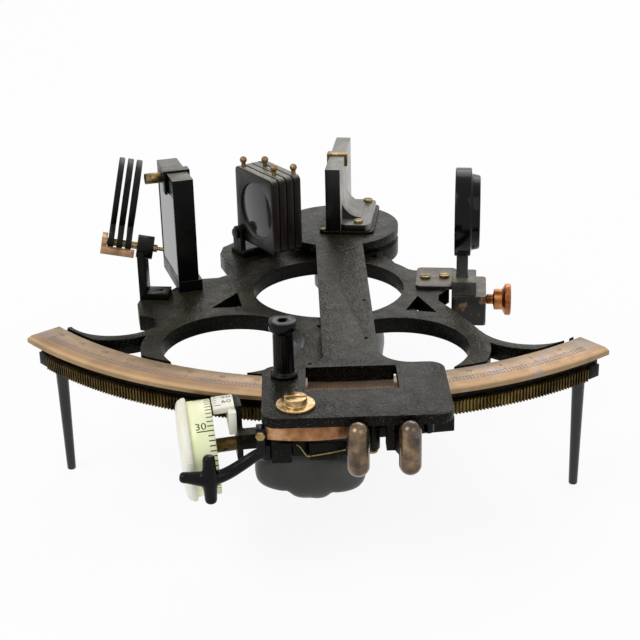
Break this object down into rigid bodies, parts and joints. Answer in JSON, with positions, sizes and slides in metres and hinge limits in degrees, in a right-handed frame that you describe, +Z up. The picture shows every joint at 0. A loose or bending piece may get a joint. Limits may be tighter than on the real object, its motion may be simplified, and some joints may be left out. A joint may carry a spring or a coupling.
{
  "type": "sextant",
  "caption": "Marine sextant with toothed arc, swinging index arm, micrometer drum, release levers, mirrors, hinged shades, telescope collar, grip and legs.",
  "frame": {"origin": "on the floor, at the middle of the rear leg's foot, under the index pivot", "axes": "+Z up along the index pivot, -Y from the pivot to the middle of the arc, +X to the telescope's side"},
  "size_m": [0.2388, 0.2523, 0.1249],
  "materials": {
    "black_paint": "black crinkle paint, worn to olive grey on the tops",
    "shade_paint": "smooth black paint",
    "leg_paint": "satin black paint",
    "bronze": "brown bronze, lightly stained",
    "brass": "dull brass",
    "grip_plastic": "matt black",
    "ivory_plastic": "ivory, satin",
    "worn_brass": "black paint worn through to brown brass",
    "clip_steel": "dull plated steel",
    "mirror_glass": "silvered behind",
    "horizon_filter_red": "dark red glass",
    "horizon_filter_green": "dark green glass",
    "horizon_filter_dark": "neutral dark glass",
    "index_filter_grey": "neutral grey glass",
    "index_filter_green": "dark green glass",
    "index_filter_red": "dark red glass",
    "index_filter_dark": "neutral dark glass"
  },
  "bodies": {
    "base": {"frame": "black_paint", "scale_strip": "bronze", "rack": "brass", "rack_stops": "black_paint", "rack_screws": "brass", "front_legs": "leg_paint", "rear_leg": "leg_paint", "pivot_bush": "brass", "handle_body": "grip_plastic", "handle_cap": "grip_plastic", "handle_posts": "leg_paint", "horizon_base": "black_paint", "horizon_frame": "black_paint", "horizon_glass": "mirror_glass", "horizon_clips": "clip_steel", "horizon_screws": "brass", "shade_post": "black_paint", "shade_pin": "brass", "shade_stop": "bronze", "index_shade_bracket": "black_paint", "index_shade_pin": "brass", "scope_bracket": "black_paint", "scope_screws": "brass"},
    "horizon_shade_a": {"horizon_shade_1": "shade_paint", "horizon_filter_1": "horizon_filter_red"},
    "horizon_shade_b": {"horizon_shade_2": "shade_paint", "horizon_filter_2": "horizon_filter_green"},
    "horizon_shade_c": {"horizon_shade_3": "shade_paint", "horizon_filter_3": "horizon_filter_dark"},
    "index_shade_a": {"index_shade_1": "shade_paint", "index_filter_1": "index_filter_grey"},
    "index_shade_b": {"index_shade_2": "shade_paint", "index_filter_2": "index_filter_green"},
    "index_shade_c": {"index_shade_3": "shade_paint", "index_filter_3": "index_filter_red"},
    "index_shade_d": {"index_shade_4": "shade_paint", "index_filter_4": "index_filter_dark"},
    "scope_slide": {"scope_foot": "black_paint", "scope_ring": "black_paint"},
    "clamp_knob": {"scope_knob": "bronze"},
    "arm": {"index_arm": "black_paint", "spindle": "brass", "spindle_nut": "brass", "index_base": "black_paint", "index_frame": "black_paint", "index_glass": "mirror_glass", "index_clips": "clip_steel", "index_screws": "brass", "socket_post": "black_paint", "pivot_screw": "brass", "leaf_spring": "bronze", "fixed_lever": "worn_brass", "lever_pin": "brass"},
    "cradle": {"worm_cradle": "black_paint", "drum_index": "ivory_plastic", "finger_rest": "black_paint"},
    "micrometer": {"worm": "brass", "worm_shaft": "brass", "drum": "ivory_plastic"},
    "pinch_lever": {"release_lever": "worn_brass"}
  },
  "joints": [
    {"name": "arm_swing", "type": "hinge", "parent": "base", "child": "arm", "pos_m": [0, 0, 0.0664], "axis": [0, 0, 1], "range_deg": [-37.8, 24]},
    {"name": "release", "type": "hinge", "parent": "arm", "child": "cradle", "pos_m": [0.00118, -0.19259, 0.0554], "axis": [0, 0, 1], "range_deg": [-2.5, 0], "stiffness_Nm_per_rad": 0.6},
    {"name": "pinch", "type": "hinge", "parent": "arm", "child": "pinch_lever", "pos_m": [0.02836, -0.18996, 0.0624], "axis": [0, 0, 1], "range_deg": [0, 10]},
    {"name": "drum_spin", "type": "hinge", "parent": "cradle", "child": "micrometer", "pos_m": [0.04125, -0.16545, 0.0553], "axis": [0.9685, 0.2415, 0.0613], "range_deg": [-27216, 17280]},
    {"name": "scope_rise", "type": "slide", "parent": "base", "child": "scope_slide", "axis": [0, 0, 1], "range_m": [0, 0.007]},
    {"name": "knob_turn", "type": "hinge", "parent": "base", "child": "clamp_knob", "pos_m": [0.074, -0.06, 0.0608], "axis": [1, 0, 0], "continuous": true},
    {"name": "horizon_shade_a_swing", "type": "hinge", "parent": "base", "child": "horizon_shade_a", "pos_m": [-0.093, -0.0793, 0.0928], "axis": [0.9618, 0.1783, -0.2079], "range_deg": [0, 90]},
    {"name": "horizon_shade_b_swing", "type": "hinge", "parent": "base", "child": "horizon_shade_b", "pos_m": [-0.093, -0.0793, 0.0928], "axis": [0.9618, 0.1783, -0.2079], "range_deg": [0, 90]},
    {"name": "horizon_shade_c_swing", "type": "hinge", "parent": "base", "child": "horizon_shade_c", "pos_m": [-0.093, -0.0793, 0.0928], "axis": [0.9618, 0.1783, -0.2079], "range_deg": [0, 90]},
    {"name": "index_shade_a_swing", "type": "hinge", "parent": "base", "child": "index_shade_a", "pos_m": [-0.03737, -0.01872, 0.0775], "axis": [-0.766, -0.6428, 0], "range_deg": [0, 90]},
    {"name": "index_shade_b_swing", "type": "hinge", "parent": "base", "child": "index_shade_b", "pos_m": [-0.03737, -0.01872, 0.0775], "axis": [-0.766, -0.6428, 0], "range_deg": [0, 90]},
    {"name": "index_shade_c_swing", "type": "hinge", "parent": "base", "child": "index_shade_c", "pos_m": [-0.03737, -0.01872, 0.0775], "axis": [-0.766, -0.6428, 0], "range_deg": [0, 90]},
    {"name": "index_shade_d_swing", "type": "hinge", "parent": "base", "child": "index_shade_d", "pos_m": [-0.03737, -0.01872, 0.0775], "axis": [-0.766, -0.6428, 0], "range_deg": [0, 90]}
  ],
  "couplings": [
    {"joint": "drum_spin", "follows": "arm_swing", "ratio": 720},
    {"joint": "pinch", "follows": "release", "ratio": -4}
  ]
}
